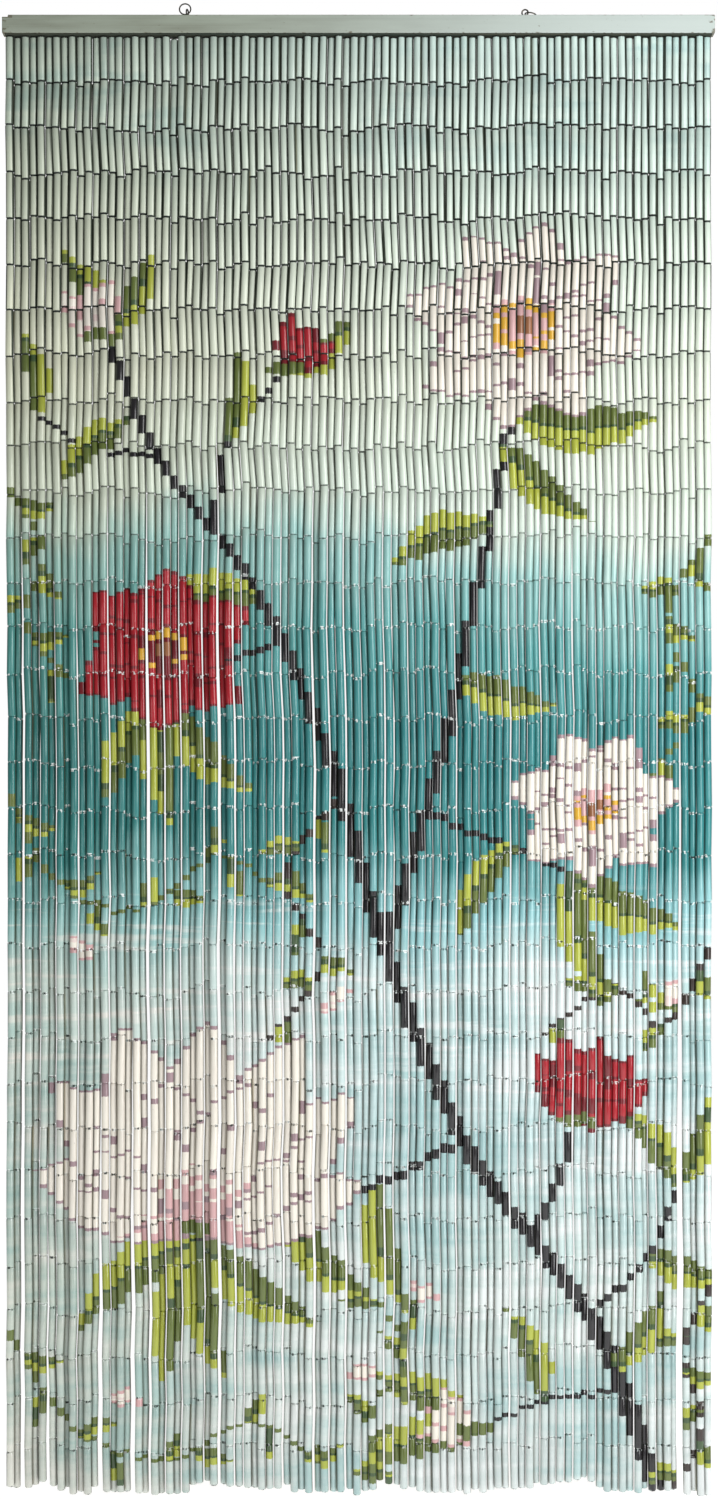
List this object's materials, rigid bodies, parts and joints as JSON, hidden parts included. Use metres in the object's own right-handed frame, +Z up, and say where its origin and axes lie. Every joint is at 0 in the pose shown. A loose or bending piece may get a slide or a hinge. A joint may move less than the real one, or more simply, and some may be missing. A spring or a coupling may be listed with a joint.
{
  "type": "bead curtain with headrail",
  "caption": "Hanging door curtain of painted bamboo tube strands under a straight wooden headrail with screw eyes and loose rings.",
  "frame": {"origin": "centre of the headrail's top face, midway along the rail", "axes": "+Z up, -Y towards the painted front, +X to the right seen from the front"},
  "size_m": [0.931, 0.0202, 1.9549],
  "materials": {
    "rail_paint": "thin matt paint on wood",
    "bead_paint": "matt paint on bamboo",
    "steel": "dull zinc plate"
  },
  "bodies": {
    "root": {"headrail": "rail_paint", "bead_strands": "bead_paint", "screw_eye_left": "steel", "screw_eye_right": "steel", "hang_ring_left": "steel", "hang_ring_right": "steel"}
  },
  "joints": []
}
